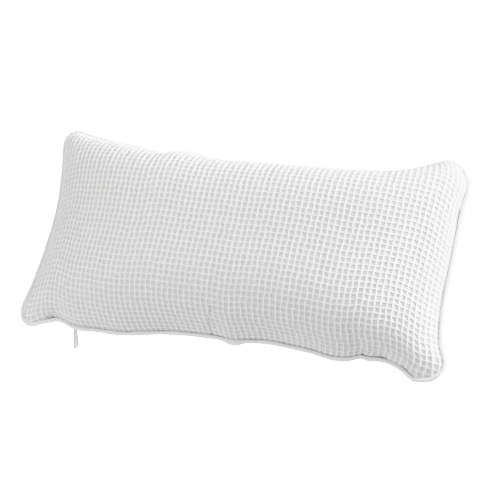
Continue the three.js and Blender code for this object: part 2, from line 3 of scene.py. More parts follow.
import bmesh
import bpy
import numpy as np
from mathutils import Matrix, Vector


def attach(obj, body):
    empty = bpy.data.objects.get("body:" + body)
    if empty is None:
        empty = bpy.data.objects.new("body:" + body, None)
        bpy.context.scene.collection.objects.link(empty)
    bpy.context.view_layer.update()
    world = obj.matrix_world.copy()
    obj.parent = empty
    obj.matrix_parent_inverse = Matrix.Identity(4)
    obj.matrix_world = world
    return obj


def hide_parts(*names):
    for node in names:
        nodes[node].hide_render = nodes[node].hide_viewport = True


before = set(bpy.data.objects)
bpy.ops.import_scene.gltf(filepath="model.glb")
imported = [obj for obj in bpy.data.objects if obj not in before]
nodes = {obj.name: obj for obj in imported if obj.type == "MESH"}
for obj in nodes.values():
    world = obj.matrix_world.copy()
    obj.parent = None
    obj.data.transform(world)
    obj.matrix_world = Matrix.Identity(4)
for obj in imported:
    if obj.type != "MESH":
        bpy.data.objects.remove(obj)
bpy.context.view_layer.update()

# Cover outline, crown and lean, as in the solids
WIDTH = 0.419
HEIGHT = 0.213
FRONT_DEPTH = 0.055
BACK_DEPTH = 0.036
LEAN = math.radians(36.7)
SIDE_DRAW = 0.015
TOP_DRAW = 0.024
BOTTOM_DRAW = 0.016
SIDE_DRAW_POWER = 2
TOP_DRAW_POWER = 3
BOTTOM_DRAW_POWER = 5
EAR_RADIUS = 0.026
CROWN_POWER_ACROSS = 3
CROWN_POWER_UP = 4.5
CROWN_EDGE_BOTTOM = 0.85
CROWN_EDGE_TOP = 0.55
FLAT_BACK_ACROSS = math.sqrt(0.5)
FLAT_BACK_UP = 0.5
RIM = 0.001
BACK_FACE = RIM + BACK_DEPTH
CUP_STAND = 0.0135
WALL = BACK_FACE + CUP_STAND
PIPING = 0.004
CLOTH_INSET = 0.0040

# Zip: places of its chain, the opening in the cover, and the tapes, which are longer here than in the solids
CHAIN_BACK = 0.0105
CHAIN_UP = 0.0036
CHAIN_END = 0.146
OPENING = 0.324
PANEL_LIP = 0.005
TAPE_EDGE = 0.0031
TAPE_BACK = 0.009
TAPE_LENGTH = 0.328
TAPE_THICKNESS = 0.0006

# Cups, as in the solids
CUP_ACROSS = 0.110
CUP_UP = 0.023
CUP_PLACES = [(across * CUP_ACROSS, up * CUP_UP) for across in (-1, 1) for up in (-1, 1)]
EYELET_HOLE = 0.0052
EYELET_FLANGE = 0.0082

# Cloth: panels as cut, waffle cells, yarns that stray, rows that lean, and relief that fades at the seam
FRONT_CUT = (0.411, 0.221)
BACK_CUT = (0.418, 0.206)
CELL = 0.00530
RIDGE = 0.00080
LEVEL_RIDGES = 0.7
YARN_STRAY = 0.0004
STRAY_WAVES = (0.0031, 0.0023)
STRAY_DRIFTS = (0.0047, 0.0061)
STRAY_WANDER = 2
GRAIN_LEAN = 1.1
GRAIN_LEAN_POWER = 3
RELIEF = 0.0012
RELIEF_FADE = 0.012

# Creases of the front: one end and the other in the seam plane, half their width, and their depth
CREASES = [
    ((-0.0078, -0.0861), (-0.0013, -0.0699), 0.0009, 0.0013),
    ((-0.1746, -0.0930), (-0.1668, -0.0908), 0.0012, 0.0017),
    ((-0.1703, -0.0902), (-0.1631, -0.0896), 0.0012, 0.0013),
    ((0.1334, -0.0852), (0.1545, -0.0858), 0.0013, 0.0016),
    ((0.1705, -0.0925), (0.1800, -0.0985), 0.0013, 0.0010),
    ((0.1955, 0.0440), (0.1965, 0.0545), 0.0012, 0.0008),
]

# Puckers of the sewn edge, as place along it, spread, and how far it strays
BOTTOM_PUCKERS = [
    (-0.190, 0.010, -0.0026),
    (-0.162, 0.010, 0.0024),
    (-0.140, 0.014, -0.0030),
    (-0.104, 0.044, -0.0085),
    (0.0135, 0.010, -0.0024),
    (0.048, 0.020, 0.0020),
    (0.108, 0.018, -0.0036),
    (0.131, 0.006, 0.0022),
    (0.152, 0.015, 0.0034),
    (0.180, 0.008, -0.0046),
    (0.194, 0.009, -0.0020),
]
TOP_PUCKERS = [
    (-0.130, 0.030, 0.0020),
    (-0.090, 0.008, -0.0018),
    (-0.067, 0.018, 0.0052),
    (0.040, 0.050, 0.0012),
    (0.178, 0.022, 0.0048),
    (0.201, 0.012, -0.0045),
]
LEFT_PUCKERS = [(0.020, 0.030, 0.0010)]
RIGHT_PUCKERS = [(0.012, 0.050, 0.0050), (-0.084, 0.012, 0.0036), (0.095, 0.012, -0.0050)]

# How soon the puckers die away from the edge
FRONT_REACH = 10
BACK_REACH = 40

# Local frame of the pillow (x across, y back, z up the seam plane) to the world
LEAN_BACK = np.array(
    [
        [1, 0, 0],
        [0, math.cos(LEAN), math.sin(LEAN)],
        [0, -math.sin(LEAN), math.cos(LEAN)],
    ]
)
BACKWARD = np.array([0.0, 1.0, 0.0])

# Keeps a division by a length of nothing from failing
TINY = 1e-12


def to_world(points):
    return (points - np.array([0, WALL, 0])) @ LEAN_BACK.T


# Shapes of the cover
def blend_up(bottom, top, w):
    return bottom + (top - bottom) * (w + 1) / 2


def ease(share):
    """From 0 to 1 with a soft start and end."""
    return share * share * (3 - 2 * share)


def stray(place, puckers):
    return sum(height * np.exp(-(((place - centre) / spread) ** 2)) for centre, spread, height in puckers)


def past_ear(place, half, radius):
    """How far a place lies past the ear's centre, from 0 there to 1 at the very side."""
    return np.maximum(0, place - half + radius) / radius


def round_corners(u, w, half_width, half_height, radius):
    """A square's places drawn onto a panel with round corners, still from -1 to 1."""
    a = past_ear(abs(u) * half_width, half_width, radius)
    b = past_ear(abs(w) * half_height, half_height, radius)
    across = u - np.sign(u) * radius * a * (1 - np.sqrt(1 - b * b / 2)) / half_width
    up = w - np.sign(w) * radius * b * (1 - np.sqrt(1 - a * a / 2)) / half_height
    return across, up


def cut_panel(u, w, cut):
    """Places on the flat panel as cut."""
    across, up = round_corners(u, w, cut[0] / 2, cut[1] / 2, EAR_RADIUS)
    return across * cut[0] / 2, up * cut[1] / 2


def seam_point(u, w, inset, reach):
    """Places in the seam plane; the puckers die away from the edge, sooner with a larger reach."""
    half_width = WIDTH / 2 - inset
    half_height = HEIGHT / 2 - inset
    across, up = round_corners(u, w, half_width, half_height, EAR_RADIUS - inset)
    draw = blend_up(BOTTOM_DRAW, TOP_DRAW, up)
    power = blend_up(BOTTOM_DRAW_POWER, TOP_DRAW_POWER, up)
    x = across * (half_width - SIDE_DRAW * (1 - abs(up) ** SIDE_DRAW_POWER))
    z = up * (half_height - draw * (1 - abs(across) ** power))
    left, right = ((1 - across) / 2) ** reach, ((1 + across) / 2) ** reach
    bottom, top = ((1 - up) / 2) ** reach, ((1 + up) / 2) ** reach
    shifted_x = x + stray(z, LEFT_PUCKERS) * left + stray(z, RIGHT_PUCKERS) * right
    shifted_z = z + stray(x, BOTTOM_PUCKERS) * bottom + stray(x, TOP_PUCKERS) * top
    return shifted_x, shifted_z


def front_swell(u, w):
    across = np.maximum(0, 1 - abs(u) ** CROWN_POWER_ACROSS)
    up = np.maximum(0, 1 - abs(w) ** CROWN_POWER_UP)
    return (across * up) ** blend_up(CROWN_EDGE_BOTTOM, CROWN_EDGE_TOP, w)


def rise(place, flat):
    left = np.maximum(0, (abs(place) - flat) / (1 - flat))
    return 1 - left * left


def back_swell(u, w):
    return rise(u, FLAT_BACK_ACROSS) * rise(w, FLAT_BACK_UP)


# Meshes
def grid(cells_across, cells_up):
    return np.meshgrid(np.linspace(-1, 1, cells_across + 1), np.linspace(-1, 1, cells_up + 1))


def stacked(x, y, z):
    return np.stack([x, y, z], axis=-1)


def faces_between(index):
    """Four-sided faces between the rows and columns of numbered points."""
    corners = [index[:-1, :-1], index[:-1, 1:], index[1:, 1:], index[1:, :-1]]
    return np.stack(corners, axis=-1).reshape(-1, 4)


def grid_faces(rows, columns):
    return faces_between(np.arange(rows * columns).reshape(rows, columns))


def ring_faces(rings, sides, closed):
    """Faces of a tube of rings, which either meets itself or has a cap at each end."""
    index = np.arange(rings * sides).reshape(rings, sides)
    if closed:
        index = np.concatenate([index, index[:1]])
    faces = faces_between(np.concatenate([index, index[:, :1]], axis=1)).tolist()
    if not closed:
        faces.append(list(range(sides))[::-1])
        faces.append(list(range((rings - 1) * sides, rings * sides)))
    return faces


def new_mesh(name, points, faces):
    mesh = bpy.data.meshes.new(name)
    mesh.from_pydata(np.asarray(points).reshape(-1, 3).tolist(), [], [list(face) for face in faces])
    mesh.polygons.foreach_set("use_smooth", [True] * len(mesh.polygons))
    obj = bpy.data.objects.new(name, mesh)
    bpy.context.scene.collection.objects.link(obj)
    return obj


def travel(path):
    """Distance from the path's start to each of its points."""
    return np.concatenate([[0], np.cumsum(np.linalg.norm(np.diff(path, axis=0), axis=1))])


def points_along(path, places):
    """Points at given distances along a path."""
    travelled = travel(path)
    return np.stack([np.interp(places, travelled, path[:, axis]) for axis in range(3)], axis=-1)


def evenly_along(points, cells, axis):
    """The same surface with its rows, or its columns, cut into equal lengths."""
    lines = np.moveaxis(points, axis, 0)
    steps = np.linalg.norm(np.diff(lines, axis=0), axis=-1)
    travelled = np.concatenate([0 * steps[:1], np.cumsum(steps, axis=0)])
    spread = np.empty((cells + 1, *lines.shape[1:]))
    for number in range(lines.shape[1]):
        places = np.linspace(0, travelled[-1, number], cells + 1)
        for part in range(3):
            spread[:, number, part] = np.interp(places, travelled[:, number], lines[:, number, part])
    return np.moveaxis(spread, 0, axis)


def evenly_spread(points, cells):
    """A surface of evenly spaced points, as cloth covers it, from a finer one spaced otherwise."""
    upright = evenly_along(points, cells[1], 0)
    both = evenly_along(upright, cells[0], 1)
    return evenly_along(both, cells[1], 0)


# Panels before they are blown out: the form is drawn finer than the cloth, which is then spread over it
FORM_STEPS = 4
SEAM_SIDE = 0.9999


def spread_panel(cells, reach, outward):
    """A panel's cloth over the form whose distance from the seam plane is given by a function."""
    u, w = grid(FORM_STEPS * cells[0], FORM_STEPS * cells[1])
    x, z = seam_point(u, w, CLOTH_INSET, reach)
    return evenly_spread(stacked(x, outward(u, w), z), cells)


def flat_panel(cells, cut):
    """The same cloth as cut, and 1 where it is sewn."""
    u, w = grid(*cells)
    x, z = cut_panel(u, w, cut)
    return stacked(x, 0 * x, z), (np.maximum(abs(u), abs(w)) > SEAM_SIDE) * 1.0


# Cloth simulation. Near the seam the cloth may move only by a share of its distance from it.
SEAM_HOLD = 0.12
HOLD_STEPS = 4


def inflated(name, start, flat, held, pressure, frames, furthest):
    """Blows a panel out from its starting shape, sewn where held is 1, and returns where it settles."""
    rows, columns = start.shape[:2]
    obj = new_mesh(name, start, grid_faces(rows, columns))
    obj.shape_key_add(name="sewn")
    pattern = obj.shape_key_add(name="as_cut")
    pattern.data.foreach_set("co", flat.reshape(-1))
    pattern.value = 0
    group = obj.vertex_groups.new(name="held")
    hold = np.round(held.reshape(-1) * HOLD_STEPS)
    for step in range(1, HOLD_STEPS + 1):
        chosen = np.flatnonzero(hold == step)
        if len(chosen):
            group.add(chosen.tolist(), step / HOLD_STEPS, "REPLACE")
    cloth = obj.modifiers.new("cloth", "CLOTH")
    settings = cloth.settings
    settings.quality = 6
    settings.mass = 0.15
    settings.tension_stiffness = 20
    settings.compression_stiffness = 12
    settings.shear_stiffness = 6
    settings.bending_stiffness = 4
    settings.air_damping = 4
    settings.use_pressure = True
    settings.uniform_pressure_force = pressure
    settings.vertex_group_mass = "held"
    settings.pin_stiffness = 1
    settings.rest_shape_key = pattern
    settings.effector_weights.gravity = 0
    cloth.collision_settings.use_collision = False
    cloth.point_cache.frame_start = 1
    cloth.point_cache.frame_end = frames
    scene = bpy.context.scene
    for number in range(1, frames + 1):
        scene.frame_set(number)
    settled = obj.evaluated_get(bpy.context.evaluated_depsgraph_get()).data
    places = np.empty(rows * columns * 3)
    settled.vertices.foreach_get("co", places)
    scene.frame_set(1)
    bpy.data.objects.remove(obj)
    moved = places.reshape(start.shape) - start
    length = np.linalg.norm(moved, axis=-1)
    seams = (flat[:, :1], flat[:, -1:], flat[:1], flat[-1:])
    from_seam = np.min([np.linalg.norm(flat - seam, axis=-1) for seam in seams], axis=0)
    room = np.minimum(furthest, SEAM_HOLD * from_seam)
    return start + moved * np.minimum(1, room / np.maximum(length, TINY))[..., None]


# Waffle weave over a panel
def refined(values, factor, axis):
    """Smooth curves through the grid's rows, with factor steps to each cell."""
    values = np.moveaxis(values, axis, 0)
    ends = [2 * values[:1] - values[1:2], values, 2 * values[-1:] - values[-2:-1]]
    padded = np.concatenate(ends)
    a, b, c, d = padded[:-3], padded[1:-2], padded[2:-1], padded[3:]
    steps = []
    for k in range(factor):
        t = k / factor
        steps.append(
            b + 0.5 * t * (c - a + t * (2 * a - 5 * b + 4 * c - d + t * (3 * (b - c) + d - a)))
        )
    fine = np.stack(steps, axis=1).reshape(-1, *values.shape[1:])
    return np.moveaxis(np.concatenate([fine, values[-1:]]), 0, axis)


def grid_normals(points):
    normal = np.cross(np.gradient(points, axis=1), np.gradient(points, axis=0))
    return normal / np.maximum(np.linalg.norm(normal, axis=-1, keepdims=True), TINY)


def unevenness(along, beside):
    """How far the yarns stray from an even lattice."""
    first = np.sin(along / STRAY_WAVES[0] + STRAY_WANDER * np.sin(beside / STRAY_DRIFTS[0]))
    second = np.sin(beside / STRAY_WAVES[1] + STRAY_WANDER * np.sin(along / STRAY_DRIFTS[1]))
    return YARN_STRAY * (first + second) / 2


def ridge(place):
    """1 on the middle of each ridge, and 0 between ridges."""
    away = abs(place / CELL - np.round(place / CELL)) * CELL
    return np.exp(-((away / RIDGE) ** 2))


def waffle(across, up):
    """Height of the waffle weave: 1 on the upright ridges, lower on the level ones, 0 in the cells."""
    upright = ridge(across + unevenness(across, up))
    level = LEVEL_RIDGES * ridge(up + unevenness(up, across))
    return 1 - (1 - upright) * (1 - level)


def pressed(points, creases):
    """How deep the creases press in at each point."""
    x, z = points[..., 0], points[..., 2]
    depths = 0 * x
    for (start_x, start_z), (end_x, end_z), half_width, depth in creases:
        run_x, run_z = end_x - start_x, end_z - start_z
        along = ((x - start_x) * run_x + (z - start_z) * run_z) / (run_x**2 + run_z**2)
        along = np.clip(along, 0, 1)
        away = np.hypot(x - start_x - along * run_x, z - start_z - along * run_z)
        depths = np.maximum(depths, depth * np.exp(-((away / half_width) ** 2)))
    return depths


def waffle_panel(coarse, cut, factor, facing, creases=(), lean=0.0):
    """A panel of waffle cloth over a coarse shape, with real relief and the cut's own coordinates."""
    fine = refined(refined(coarse, factor, 0), factor, 1)
    rows, columns = fine.shape[:2]
    u, w = grid(columns - 1, rows - 1)
    across, up = cut_panel(u, w, cut)
    height = waffle(across, up + lean * np.maximum(0, across) ** GRAIN_LEAN_POWER)
    settle = np.clip(np.minimum(1 - abs(u), 1 - abs(w)) / RELIEF_FADE, 0, 1)
    lift = (height - 0.5) * RELIEF * settle - pressed(fine, creases)
    return fine + facing * grid_normals(fine) * lift[..., None], across, up, height


def panel_object(name, points, across, up, height, keep=None, flip=False):
    """The panel as an object that carries its places on the cut and its weave's height."""
    rows, columns = points.shape[:2]
    faces = grid_faces(rows, columns)
    if flip:
        faces = faces[:, ::-1]
    if keep is not None:
        faces = faces[keep.reshape(-1)[faces].all(axis=1)]
    used = np.unique(faces)
    renumber = np.full(rows * columns, -1)
    renumber[used] = np.arange(len(used))
    obj = new_mesh(name, to_world(points.reshape(-1, 3)[used]), renumber[faces])
    corners = used[np.asarray([loop.vertex_index for loop in obj.data.loops])]
    layer = obj.data.uv_layers.new(name="cut")
    place = np.stack([across.reshape(-1)[corners], up.reshape(-1)[corners]], axis=-1)
    layer.data.foreach_set("uv", (place / CELL).reshape(-1))
    # The weave's height also sets where the cells' painted shade falls
    relief = obj.data.attributes.new("relief", "FLOAT", "POINT")
    relief.data.foreach_set("value", height.reshape(-1)[used])
    return obj


# Materials
SHEEN = 0.15
COTTON = (0.88, 0.88, 0.87)
# Colour of the cells: partly thinner yarn, partly painted shade in the cells' hollows
CELL_YARN_AND_SHADE = (0.68, 0.68, 0.675)
RIDGE_TONE = (0.93, 0.93, 0.92)
CLOTH_SHADE = 0.9
SMOOTHEST = 0.8
ROUGHEST = 1.25


def material(name, colour, roughness, metallic=0.0):
    made = bpy.data.materials.new(name)
    made.use_nodes = True
    shader = made.node_tree.nodes["Principled BSDF"]
    shader.inputs["Base Color"].default_value = (*colour, 1)
    shader.inputs["Roughness"].default_value = roughness
    shader.inputs["Metallic"].default_value = metallic
    return made, made.node_tree, shader


def add(tree, kind, **values):
    node = tree.nodes.new(kind)
    for key, value in values.items():
        if key in node.inputs:
            node.inputs[key].default_value = value
        else:
            setattr(node, key, value)
    return node


def object_place(tree):
    return add(tree, "ShaderNodeTexCoord").outputs["Object"]


def speckle(tree, place, scale, detail):
    noise = add(tree, "ShaderNodeTexNoise", Scale=scale, Detail=detail)
    tree.links.new(place, noise.inputs["Vector"])
    return noise.outputs["Fac"]


def total(tree, first, second):
    both = add(tree, "ShaderNodeMath", operation="ADD")
    tree.links.new(first, both.inputs[0])
    tree.links.new(second, both.inputs[1])
    return both.outputs[0]


def drawn_onto(tree, value, source, target):
    """A value drawn from one range onto another."""
    drawing = add(tree, "ShaderNodeMapRange")
    for key, end in zip(("From Min", "From Max", "To Min", "To Max"), (*source, *target)):
        drawing.inputs[key].default_value = end
    tree.links.new(value, drawing.inputs["Value"])
    return drawing.outputs["Result"]


def two_tone(tree, shader, share, first, second):
    tone = add(tree, "ShaderNodeMix", data_type="RGBA")
    tone.inputs["A"].default_value = (*first, 1)
    tone.inputs["B"].default_value = (*second, 1)
    tree.links.new(share, tone.inputs["Factor"])
    tree.links.new(tone.outputs["Result"], shader.inputs["Base Color"])


def dent(tree, shader, height, strength, distance):
    dents = add(tree, "ShaderNodeBump", Strength=strength, Distance=distance)
    tree.links.new(height, dents.inputs["Height"])
    tree.links.new(dents.outputs["Normal"], shader.inputs["Normal"])


def waffle_material(name):
    """Paler on the ridges than in the cells, whose darker colour is partly thinner yarn and partly painted
    shade, flecked, with yarns running slantwise.
    """
    made, tree, shader = material(name, COTTON, roughness=0.92)
    shader.inputs["Sheen Weight"].default_value = SHEEN
    shader.inputs["Sheen Roughness"].default_value = 0.6
    place = add(tree, "ShaderNodeUVMap", uv_map="cut").outputs["UV"]
    fuzz = speckle(tree, place, scale=9.0, detail=4.0)
    fleck = drawn_onto(tree, fuzz, source=(0.3, 0.7), target=(-0.3, 0.3))
    relief = add(tree, "ShaderNodeAttribute", attribute_name="relief").outputs["Fac"]
    # The cells take the darker colour, partly painted shade, by the weave's height
    two_tone(tree, shader, total(tree, relief, fleck), CELL_YARN_AND_SHADE, RIDGE_TONE)
    yarn = add(tree, "ShaderNodeTexWave", wave_type="BANDS", bands_direction="DIAGONAL")
    yarn.inputs["Scale"].default_value = 2.2
    yarn.inputs["Distortion"].default_value = 2.5
    yarn.inputs["Detail"].default_value = 2
    tree.links.new(place, yarn.inputs["Vector"])
    dent(tree, shader, total(tree, yarn.outputs["Fac"], fuzz), strength=0.35, distance=0.0004)
    return made


def cloth_material(name, colour, threads):
    """Plain cloth with a given number of threads to the metre."""
    made, tree, shader = material(name, colour, roughness=0.9)
    shader.inputs["Sheen Weight"].default_value = SHEEN
    place = object_place(tree)
    weave = add(tree, "ShaderNodeTexVoronoi", Scale=threads)
    tree.links.new(place, weave.inputs["Vector"])
    shade = [part * CLOTH_SHADE for part in colour]
    two_tone(tree, shader, speckle(tree, place, scale=threads / 3, detail=3.0), shade, colour)
    dent(tree, shader, weave.outputs["Distance"], strength=0.4, distance=0.0004)
    return made


def hard_material(name, colour, roughness, metallic, mottle):
    """A hard material, mottled a given number of times to the metre."""
    made, tree, shader = material(name, colour, roughness, metallic)
    noise = speckle(tree, object_place(tree), scale=mottle, detail=5.0)
    rough = drawn_onto(tree, noise, (0, 1), (roughness * SMOOTHEST, roughness * ROUGHEST))
    tree.links.new(rough, shader.inputs["Roughness"])
    dent(tree, shader, noise, strength=0.1, distance=0.0002)
    return made


def vinyl_material(name):
    made, tree, shader = material(name, (0.90, 0.93, 0.94), roughness=0.12)
    shader.inputs["Transmission Weight"].default_value = 0.75
    shader.inputs["IOR"].default_value = 1.5
    ripples = speckle(tree, object_place(tree), scale=120.0, detail=3.0)
    dent(tree, shader, ripples, strength=0.06, distance=0.0003)
    return made


WAFFLE = waffle_material("waffle_cloth")
PIPING_CLOTH = cloth_material("piping_cloth", COTTON, threads=900)
TAPE_CLOTH = cloth_material("zip_tape_cloth", (0.84, 0.84, 0.83), threads=1500)
THREAD = cloth_material("sewing_thread", (0.86, 0.86, 0.85), threads=2500)
LINER_CLOTH = cloth_material("liner_cloth", (0.86, 0.85, 0.83), threads=700)
ENAMEL = hard_material("grey_enamel", (0.70, 0.71, 0.72), roughness=0.35, metallic=0.2, mottle=300)
NICKEL = hard_material("nickel", (0.72, 0.72, 0.73), roughness=0.25, metallic=1.0, mottle=400)
PLASTIC = hard_material("tooth_plastic", (0.86, 0.86, 0.85), roughness=0.45, metallic=0.0, mottle=500)
VINYL = vinyl_material("clear_vinyl")


def dress(obj, made):
    obj.data.materials.clear()
    obj.data.materials.append(made)


# Front of the cover, which starts a little short of its full depth
FRONT_CELLS = (114, 64)
FRONT_FINE = 8
FRONT_START = 0.96


def front_face(u, w):
    return -RIM - FRONT_START * FRONT_DEPTH * front_swell(u, w)


front_shape = spread_panel(FRONT_CELLS, FRONT_REACH, front_face)
front_flat, front_held = flat_panel(FRONT_CELLS, FRONT_CUT)
front_shape = inflated(
    "front_sim", front_shape, front_flat, front_held, pressure=4.0, frames=24, furthest=0.012
)
front_panel = waffle_panel(front_shape, FRONT_CUT, FRONT_FINE, 1, CREASES, GRAIN_LEAN)
front_cloth = panel_object("front_cloth", *front_panel)
dress(front_cloth, WAFFLE)
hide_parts("front_panel")
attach(front_cloth, "pillow")

# Zip frame inside the pillow's own frame
piping_bottom = -(HEIGHT / 2 - BOTTOM_DRAW - PIPING / 2)
zip_y = CHAIN_BACK * math.cos(LEAN) - CHAIN_UP * math.sin(LEAN)
zip_z = CHAIN_BACK * math.sin(LEAN) + CHAIN_UP * math.cos(LEAN) + piping_bottom
ZIP_BEHIND = np.array([0, math.cos(LEAN), math.sin(LEAN)])
ZIP_BELOW = np.array([0, math.sin(LEAN), -math.cos(LEAN)])


def to_zip(points):
    """Distance behind the chain and height above it."""
    y, z = points[..., 1] - zip_y, points[..., 2] - zip_z
    return y * math.cos(LEAN) + z * math.sin(LEAN), z * math.cos(LEAN) - y * math.sin(LEAN)


def from_zip(x, behind, above):
    y = zip_y + behind * math.cos(LEAN) - above * math.sin(LEAN)
    z = zip_z + behind * math.sin(LEAN) + above * math.cos(LEAN)
    return stacked(x, y, z)


# Back of the cover, open along the zip and held at the eyelets, whose hold and flat place fade outwards
BACK_CELLS = (96, 52)
BACK_FINE = 7
EYELET_HOLD = 1.6
EYELET_HOLD_FADE = 0.012
EYELET_FLAT_FADE = 0.004
ZIP_HOLD_PAST = 0.006
ZIP_HOLD_BEHIND = 0.010
ZIP_SIDE = -0.05


def back_face(u, w):
    return RIM + BACK_DEPTH * back_swell(u, w)


def within_opening(points, past, behind):
    """Whether points of the back lie in the zip's opening, or a little past it."""
    by_zip = to_zip(points)[0] < PANEL_LIP + behind
    return (abs(points[..., 0]) < OPENING / 2 + past) & by_zip & (points[..., 2] < ZIP_SIDE)


def from_cup(points, place):
    return np.hypot(points[..., 0] - place[0], points[..., 2] - place[1])


back_shape = spread_panel(BACK_CELLS, BACK_REACH, back_face)
back_flat, back_held = flat_panel(BACK_CELLS, BACK_CUT)
for place in CUP_PLACES:
    hold = EYELET_HOLD - from_cup(back_shape, place) / EYELET_HOLD_FADE
    back_held = np.maximum(back_held, np.clip(hold, 0, 1))
back_held = np.maximum(back_held, within_opening(back_shape, ZIP_HOLD_PAST, ZIP_HOLD_BEHIND) * 1.0)
back_shape = inflated(
    "back_sim", back_shape, back_flat, back_held, pressure=-1.5, frames=20, furthest=0.005
)
back_points, *back_weave = waffle_panel(back_shape, BACK_CUT, BACK_FINE, -1)
back_behind = to_zip(back_points)[0]
back_kept = ~within_opening(back_points, 0, 0)
for place in CUP_PLACES:
    away = from_cup(back_points, place)
    back_kept &= away > EYELET_HOLE
    flat = np.clip((EYELET_FLANGE + EYELET_FLAT_FADE - away) / EYELET_FLAT_FADE, 0, 1)
    back_points[..., 1] += flat * (np.minimum(back_points[..., 1], BACK_FACE) - back_points[..., 1])
back_cloth = panel_object("back_cloth", back_points, *back_weave, back_kept, flip=True)
dress(back_cloth, WAFFLE)
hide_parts("back_panel")
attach(back_cloth, "pillow")


# Tubes along a path
def ring_angles(sides):
    return np.linspace(0, 2 * math.pi, sides, endpoint=False)


def tube(name, path, plane, radius, sides, closed, ripple=None):
    """A round tube along points that keep near a plane, given by its normal, in the pillow's own frame."""
    count = len(path)
    if closed:
        along = np.roll(path, -1, axis=0) - np.roll(path, 1, axis=0)
    else:
        along = np.gradient(path, axis=0)
    along /= np.linalg.norm(along, axis=1, keepdims=True)
    out = np.cross(along, plane)
    out /= np.linalg.norm(out, axis=1, keepdims=True)
    side = np.cross(out, along)
    angle = ring_angles(sides)
    size = np.full((count, sides), radius)
    if ripple is not None:
        size = size + ripple(np.arange(count)[:, None], angle[None, :])
    ring = np.cos(angle)[None, :, None] * out[:, None] + np.sin(angle)[None, :, None] * side[:, None]
    points = path[:, None] + ring * size[..., None]
    return new_mesh(name, to_world(points.reshape(-1, 3)), ring_faces(count, sides, closed))


# Piping round the seam: a strip in slanting folds over its cord, a little thicker and thinner along it
SEAM_STEPS = (700, 400)
PIPING_STEP = 0.0011
PIPING_SIDES = 14
FOLD_PITCH = 0.0045
FOLD_SLANT = 2
FOLD_HEIGHT = 0.00012
SWELL_PITCH = 0.031
SWELL_START = 0.7
SWELL_HEIGHT = 0.00010

# The strip's two ends lap over each other near the middle of the bottom edge
LAP_PLACE = 0.0135
LAP_HALF_LENGTH = 0.007
LAP_THICKNESS = 0.0009
LAP_POWER = 4


def seam_loop(steps_across, steps_up, inset):
    across = np.sin(np.linspace(-0.5, 0.5, steps_across, endpoint=False) * math.pi)
    up = np.sin(np.linspace(-0.5, 0.5, steps_up, endpoint=False) * math.pi)
    u = np.concatenate([across, np.ones(steps_up), -across, -np.ones(steps_up)])
    w = np.concatenate([-np.ones(steps_across), up, np.ones(steps_across), -up])
    x, z = seam_point(u, w, inset, FRONT_REACH)
    return stacked(x, 0 * x, z)


def even_spacing(path, step):
    """The same closed path with its points a step apart."""
    closed = np.concatenate([path, path[:1]])
    length = travel(closed)[-1]
    return points_along(closed, np.linspace(0, length, round(length / step), endpoint=False))


piping_path = even_spacing(seam_loop(*SEAM_STEPS, PIPING / 2), PIPING_STEP)


def piping_ripple(station, angle):
    """Slanting folds of the strip over its cord, and the lap of its ends."""
    below = piping_path[:, 2] < 0
    lap = below * np.exp(-(((piping_path[:, 0] - LAP_PLACE) / LAP_HALF_LENGTH) ** LAP_POWER))
    fold = np.sin(station * PIPING_STEP / FOLD_PITCH * 2 * math.pi + FOLD_SLANT * angle)
    swell = np.sin(station * PIPING_STEP / SWELL_PITCH * 2 * math.pi + SWELL_START)
    return FOLD_HEIGHT * fold + SWELL_HEIGHT * swell + LAP_THICKNESS * lap[:, None]


piping = tube("piping", piping_path, BACKWARD, PIPING / 2, PIPING_SIDES, True, piping_ripple)
dress(piping, PIPING_CLOTH)
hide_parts("piping_cover", "piping_cord")
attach(piping, "pillow")

# Inner cushion, which fills the cover to a share of its depth
INNER_CELLS = (60, 32)
INNER_INSET = 0.017
INNER_FRONT = 0.90
INNER_BACK = 0.72
WELD = 1e-6
u, w = grid(*INNER_CELLS)
x, z = seam_point(u, w, INNER_INSET, BACK_REACH)
inner_front = stacked(x, -INNER_FRONT * FRONT_DEPTH * front_swell(u, w), z)
inner_back = stacked(x, INNER_BACK * BACK_DEPTH * back_swell(u, w), z)
half_faces = grid_faces(*x.shape)
inner_faces = np.concatenate([half_faces, half_faces[:, ::-1] + x.size])
inner_points = np.concatenate([inner_front.reshape(-1, 3), inner_back.reshape(-1, 3)])
inner_cushion = new_mesh("inner_cushion", to_world(inner_points), inner_faces)
welded = bmesh.new()
welded.from_mesh(inner_cushion.data)
bmesh.ops.remove_doubles(welded, verts=welded.verts, dist=WELD)
welded.to_mesh(inner_cushion.data)
welded.free()
dress(inner_cushion, LINER_CLOTH)
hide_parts("liner_front", "liner_back", "fibre_fill")
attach(inner_cushion, "pillow")

# Edge of the back panel along the zip, sought in its lower rows, over the columns that one row gives
LIP_ROWS = 28 * BACK_FINE
LIP_ROW = 6 * BACK_FINE
lip_columns = np.flatnonzero(abs(back_points[LIP_ROW, :, 0]) < OPENING / 2)


def lip_path(offset):
    """Points on the back panel along the zip, at a distance behind the opening's edge."""
    path = []
    for column in lip_columns:
        strip = back_points[:LIP_ROWS, column]
        places = back_behind[:LIP_ROWS, column]
        path.append([np.interp(PANEL_LIP + offset, places, strip[:, axis]) for axis in range(3)])
    return np.array(path)


def end_path(x):
    """Points on the back panel down one end of the opening, from its edge to the piping."""
    rows = back_points[:LIP_ROWS]
    path = np.array([[np.interp(x, row[:, 0], row[:, axis]) for axis in range(3)] for row in rows])
    return path[to_zip(path)[0] < PANEL_LIP][::-1]


# Zip tapes, ribbed across
TAPE_STEPS = (640, 14)
RIB_HEIGHT = 0.00008
RIB_WIDTH = 0.0011
RIB_LENGTH = 0.0016
FRONT_TURN = 0.25
EDGE_REACH = 0.9
EDGE_STEPS = 1800


